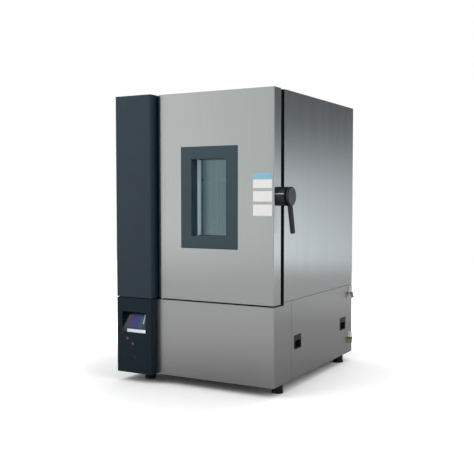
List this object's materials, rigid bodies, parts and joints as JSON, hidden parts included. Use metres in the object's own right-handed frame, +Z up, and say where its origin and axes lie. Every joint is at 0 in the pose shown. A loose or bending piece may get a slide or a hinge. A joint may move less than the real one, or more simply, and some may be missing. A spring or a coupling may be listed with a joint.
{
  "type": "environmental test chamber",
  "caption": "Floor-standing environmental test chamber with a hinged window door, lever latch, control column, shelves and a refrigeration compartment.",
  "frame": {"origin": "on the floor, under the middle of the overall box", "axes": "+Z up, +Y to the rear, +X to the right seen from the front"},
  "size_m": [1.2023, 1.364, 1.82],
  "materials": {
    "stainless": "vertical brushed grain",
    "liner_steel": "fine satin",
    "galvanised": "zinc coated sheet",
    "column_paint": "semi-gloss slate",
    "column_lower_paint": "semi-gloss dark slate",
    "window_frame_paint": "semi-gloss slate",
    "display_bezel": "gloss dark bezel",
    "display_glass": "glossy lit display",
    "button_red": "gloss",
    "key_metal": "satin",
    "bright_metal": "polished",
    "black_steel": "black oxide",
    "black_plastic": "fine grain",
    "handle_black": "semi-gloss moulded",
    "black_rubber": "matte",
    "seal_black": "matte",
    "foam": "rigid foam",
    "window_glass": "clear heated glass",
    "shelf_wire": "polished wire",
    "fin_aluminium": "mill finish",
    "heater_steel": "heat tinted",
    "motor_grey": "satin",
    "plug_silicone": "soft silicone",
    "compressor_black": "gloss",
    "fan_plastic": "moulded",
    "copper": "drawn copper",
    "electrical_grey": "moulded housings",
    "white_plastic": "moulded",
    "brass": "turned"
  },
  "bodies": {
    "cabinet": {"levelling_feet": "black_rubber", "base_tray": "galvanised", "corner_posts": "galvanised", "machine_deck": "galvanised", "lower_front_panel": "stainless", "lower_rear_wrap": "stainless", "left_lower_panel": "stainless", "column_upper_cover": "column_paint", "column_lower_cover": "column_lower_paint", "display_unit": "display_bezel", "display_glass": "display_glass", "right_side_panel": "stainless", "left_side_panel": "stainless", "top_panel": "stainless", "rear_panel": "galvanised", "motor_cover": "galvanised", "insulation": "foam", "inner_liner": "liner_steel", "door_frame": "seal_black", "hinge_brackets": "key_metal", "strike": "bright_metal", "shelf_rails": "liner_steel", "air_baffle": "liner_steel", "evaporator_coil": "fin_aluminium", "heater_coil": "heater_steel", "humidifier_pan": "liner_steel", "blower_motor": "motor_grey", "temperature_probe": "bright_metal", "cable_port_sleeve": "liner_steel", "compressor": "compressor_black", "condenser_coil": "fin_aluminium", "condenser_shroud": "galvanised", "condenser_motor": "motor_grey", "refrigerant_circuit": "copper", "electrical_panel": "electrical_grey", "fitting_bodies": "white_plastic", "fitting_nipples": "brass"},
    "door": {"door_skin": "stainless", "door_core": "foam", "door_liner": "liner_steel", "window_frame": "window_frame_paint", "window_inner_frame": "liner_steel", "window_panes": "window_glass", "door_gasket": "seal_black", "hinge_blocks": "key_metal", "latch_housing": "black_plastic", "latch_plate": "bright_metal"},
    "handle": {"handle_lever": "handle_black", "latch_cam": "black_steel"},
    "service_panel": {"right_service_panel": "stainless", "panel_pulls": "black_plastic"},
    "blower": {"blower_wheel": "fin_aluminium", "blower_shaft": "key_metal"},
    "condenser_rotor": {"condenser_fan": "fan_plastic"},
    "shelf_a": {"shelf_lower": "shelf_wire"},
    "shelf_b": {"shelf_upper": "shelf_wire"},
    "button": {"power_button": "button_red"},
    "key": {"key_switch": "key_metal"},
    "lock": {"cover_lock": "black_plastic"},
    "port_plug": {"cable_port_plug": "plug_silicone"}
  },
  "joints": [
    {"name": "door_hinge", "type": "hinge", "parent": "cabinet", "child": "door", "pos_m": [-0.27986, -0.594, 1.1835], "axis": [0, 0, -1], "range_deg": [0, 95]},
    {"name": "handle_turn", "type": "hinge", "parent": "door", "child": "handle", "pos_m": [0.55514, -0.544, 1.188], "axis": [-1, 0, 0], "range_deg": [0, 90]},
    {"name": "service_panel_lift", "type": "slide", "parent": "cabinet", "child": "service_panel", "axis": [1, 0, 0], "range_m": [0, 0.25]},
    {"name": "blower_spin", "type": "hinge", "parent": "cabinet", "child": "blower", "pos_m": [0.10514, 0.5135, 1.473], "axis": [0, 1, 0], "continuous": true},
    {"name": "condenser_fan_spin", "type": "hinge", "parent": "cabinet", "child": "condenser_rotor", "pos_m": [0.10514, 0.5345, 0.233], "axis": [0, 1, 0], "continuous": true},
    {"name": "lower_shelf_slide", "type": "slide", "parent": "cabinet", "child": "shelf_a", "axis": [0, -1, 0], "range_m": [0, 0.06]},
    {"name": "upper_shelf_slide", "type": "slide", "parent": "cabinet", "child": "shelf_b", "axis": [0, -1, 0], "range_m": [0, 0.06]},
    {"name": "button_press", "type": "slide", "parent": "cabinet", "child": "button", "axis": [0, 1, 0], "range_m": [0, 0.003], "stiffness_N_per_m": 400},
    {"name": "key_turn", "type": "hinge", "parent": "cabinet", "child": "key", "pos_m": [-0.45486, -0.67, 0.249], "axis": [0, 1, 0], "range_deg": [0, 90]},
    {"name": "cover_lock_turn", "type": "hinge", "parent": "cabinet", "child": "lock", "pos_m": [-0.43786, -0.67, 0.163], "axis": [0, 1, 0], "range_deg": [0, 90]},
    {"name": "port_plug_pull", "type": "slide", "parent": "cabinet", "child": "port_plug", "axis": [-1, 0, 0], "range_m": [0, 0.08]}
  ]
}
